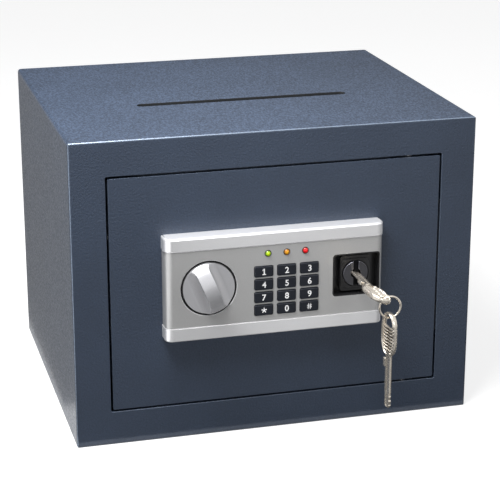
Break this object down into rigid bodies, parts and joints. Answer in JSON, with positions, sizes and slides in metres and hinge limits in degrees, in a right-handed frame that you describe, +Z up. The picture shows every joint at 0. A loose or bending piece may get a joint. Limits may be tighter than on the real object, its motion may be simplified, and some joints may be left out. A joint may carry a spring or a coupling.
{
  "type": "envelope safe",
  "caption": "Small steel safe with a deposit slot in its roof, a front door with a keypad, turning knob and key override, and keys hanging from the lock.",
  "frame": {"origin": "on the underside, midway between the two floor anchor holes", "axes": "+Z up, +Y from the door towards the back, +X to the right for someone who faces the door"},
  "size_m": [0.35, 0.3767, 0.266],
  "materials": {
    "cabinet_paint": "fine powder coat",
    "zinc_steel": "zinc plated",
    "bright_steel": "polished",
    "felt": "felt",
    "brass": "turned",
    "panel_silver": "satin silver paint",
    "panel_grey": "satin grey film",
    "knob_silver": "satin",
    "black_plastic": "semi-gloss",
    "membrane_rubber": "moulded",
    "board_green": "lacquered",
    "lens_green": "clear",
    "lens_amber": "clear",
    "lens_red": "clear",
    "lock_black": "black zinc",
    "coil_tape": "taped winding",
    "cell_wrap": "printed sleeve, left bare",
    "reset_red": "moulded",
    "key_nickel": "nickel plated",
    "button_plastic": "fine matt"
  },
  "bodies": {
    "cabinet": {"cabinet_shell": "cabinet_paint", "front_frame": "cabinet_paint", "back_panel": "cabinet_paint", "door_stops": "cabinet_paint", "strike_plate": "zinc_steel", "hinge_brackets": "zinc_steel", "hinge_pins": "bright_steel", "slot_baffle": "zinc_steel", "floor_mat": "felt"},
    "door": {"door_plate": "cabinet_paint", "hinge_lugs": "zinc_steel", "dog_bar": "zinc_steel", "door_liner": "cabinet_paint", "liner_screws": "bright_steel", "bolt_guide": "zinc_steel", "guide_posts": "bright_steel", "knob_bush": "brass", "panel_housing": "panel_silver", "panel_fascia": "panel_grey", "panel_screws": "bright_steel", "keypad_membrane": "membrane_rubber", "circuit_board": "board_green", "lamp_bezels": "black_plastic", "lamp_green": "lens_green", "lamp_amber": "lens_amber", "lamp_red": "lens_red", "knob_ring": "black_plastic", "lock_escutcheon": "black_plastic", "lock_body": "lock_black", "solenoid": "coil_tape", "battery_box": "black_plastic", "batteries": "cell_wrap", "battery_contacts": "bright_steel"},
    "knob_set": {"knob": "knob_silver", "knob_spindle": "bright_steel", "crank": "zinc_steel"},
    "bolt_set": {"bolt_carriage": "zinc_steel", "live_bolts": "bright_steel"},
    "plug_set": {"lock_plug": "lock_black", "lock_cam": "zinc_steel"},
    "rod": {"release_rod": "zinc_steel"},
    "plunger": {"solenoid_plunger": "bright_steel"},
    "battery_lid": {"battery_cover": "black_plastic"},
    "reset": {"reset_button": "reset_red"},
    "key_one": {"key_in_lock": "key_nickel"},
    "ring": {"key_ring": "key_nickel"},
    "key_two": {"spare_key": "key_nickel"},
    "button_1_cap": {"button_1": "button_plastic"},
    "button_2_cap": {"button_2": "button_plastic"},
    "button_3_cap": {"button_3": "button_plastic"},
    "button_4_cap": {"button_4": "button_plastic"},
    "button_5_cap": {"button_5": "button_plastic"},
    "button_6_cap": {"button_6": "button_plastic"},
    "button_7_cap": {"button_7": "button_plastic"},
    "button_8_cap": {"button_8": "button_plastic"},
    "button_9_cap": {"button_9": "button_plastic"},
    "button_star_cap": {"button_star": "button_plastic"},
    "button_0_cap": {"button_0": "button_plastic"},
    "button_hash_cap": {"button_hash": "button_plastic"}
  },
  "joints": [
    {"name": "door_hinge", "type": "hinge", "parent": "cabinet", "child": "door", "pos_m": [0.11675, -0.135, 0.133], "axis": [0, 0, 1], "range_deg": [0, 100]},
    {"name": "knob_turn", "type": "hinge", "parent": "door", "child": "knob_set", "pos_m": [-0.063, -0.144, 0.1385], "axis": [0, -1, 0], "range_deg": [0, 90]},
    {"name": "bolt_slide", "type": "slide", "parent": "door", "child": "bolt_set", "axis": [-1, 0, 0], "range_m": [0, 0.01697]},
    {"name": "lock_turn", "type": "hinge", "parent": "door", "child": "plug_set", "pos_m": [0.0655, -0.144, 0.1395], "axis": [0, -1, 0], "range_deg": [0, 110]},
    {"name": "rod_slide", "type": "slide", "parent": "door", "child": "rod", "axis": [-1, 0, 0], "range_m": [0, 0.0131]},
    {"name": "plunger_lift", "type": "slide", "parent": "door", "child": "plunger", "axis": [0, 0, 1], "range_m": [0, 0.006]},
    {"name": "key_withdraw", "type": "slide", "parent": "plug_set", "child": "key_one", "axis": [0, -1, 0], "range_m": [0, 0.03]},
    {"name": "ring_swing", "type": "hinge", "parent": "key_one", "child": "ring", "pos_m": [0.07323, -0.222, 0.13669], "axis": [0, 1, 0], "range_deg": [-25, 25]},
    {"name": "spare_key_swing", "type": "hinge", "parent": "ring", "child": "key_two", "pos_m": [0.07323, -0.222, 0.12244], "axis": [1, 0, 0], "range_deg": [-25, 25]},
    {"name": "battery_cover_hinge", "type": "hinge", "parent": "door", "child": "battery_lid", "pos_m": [0.05275, -0.0965, 0.068], "axis": [-1, 0, 0], "range_deg": [0, 100]},
    {"name": "reset_press", "type": "slide", "parent": "door", "child": "reset", "axis": [0, -1, 0], "range_m": [0, 0.002], "stiffness_N_per_m": 400, "springref_m": -0.0005},
    {"name": "button_1_press", "type": "slide", "parent": "door", "child": "button_1_cap", "axis": [0, 1, 0], "range_m": [0, 0.0012], "stiffness_N_per_m": 600, "springref_m": -0.0005},
    {"name": "button_2_press", "type": "slide", "parent": "door", "child": "button_2_cap", "axis": [0, 1, 0], "range_m": [0, 0.0012], "stiffness_N_per_m": 600, "springref_m": -0.0005},
    {"name": "button_3_press", "type": "slide", "parent": "door", "child": "button_3_cap", "axis": [0, 1, 0], "range_m": [0, 0.0012], "stiffness_N_per_m": 600, "springref_m": -0.0005},
    {"name": "button_4_press", "type": "slide", "parent": "door", "child": "button_4_cap", "axis": [0, 1, 0], "range_m": [0, 0.0012], "stiffness_N_per_m": 600, "springref_m": -0.0005},
    {"name": "button_5_press", "type": "slide", "parent": "door", "child": "button_5_cap", "axis": [0, 1, 0], "range_m": [0, 0.0012], "stiffness_N_per_m": 600, "springref_m": -0.0005},
    {"name": "button_6_press", "type": "slide", "parent": "door", "child": "button_6_cap", "axis": [0, 1, 0], "range_m": [0, 0.0012], "stiffness_N_per_m": 600, "springref_m": -0.0005},
    {"name": "button_7_press", "type": "slide", "parent": "door", "child": "button_7_cap", "axis": [0, 1, 0], "range_m": [0, 0.0012], "stiffness_N_per_m": 600, "springref_m": -0.0005},
    {"name": "button_8_press", "type": "slide", "parent": "door", "child": "button_8_cap", "axis": [0, 1, 0], "range_m": [0, 0.0012], "stiffness_N_per_m": 600, "springref_m": -0.0005},
    {"name": "button_9_press", "type": "slide", "parent": "door", "child": "button_9_cap", "axis": [0, 1, 0], "range_m": [0, 0.0012], "stiffness_N_per_m": 600, "springref_m": -0.0005},
    {"name": "button_star_press", "type": "slide", "parent": "door", "child": "button_star_cap", "axis": [0, 1, 0], "range_m": [0, 0.0012], "stiffness_N_per_m": 600, "springref_m": -0.0005},
    {"name": "button_0_press", "type": "slide", "parent": "door", "child": "button_0_cap", "axis": [0, 1, 0], "range_m": [0, 0.0012], "stiffness_N_per_m": 600, "springref_m": -0.0005},
    {"name": "button_hash_press", "type": "slide", "parent": "door", "child": "button_hash_cap", "axis": [0, 1, 0], "range_m": [0, 0.0012], "stiffness_N_per_m": 600, "springref_m": -0.0005}
  ],
  "couplings": [
    {"joint": "knob_turn", "follows": "bolt_slide", "rad_per_m": 92.56},
    {"joint": "lock_turn", "follows": "rod_slide", "rad_per_m": 146.48},
    {"joint": "plunger_lift", "follows": "rod_slide", "ratio": 0.45779}
  ]
}
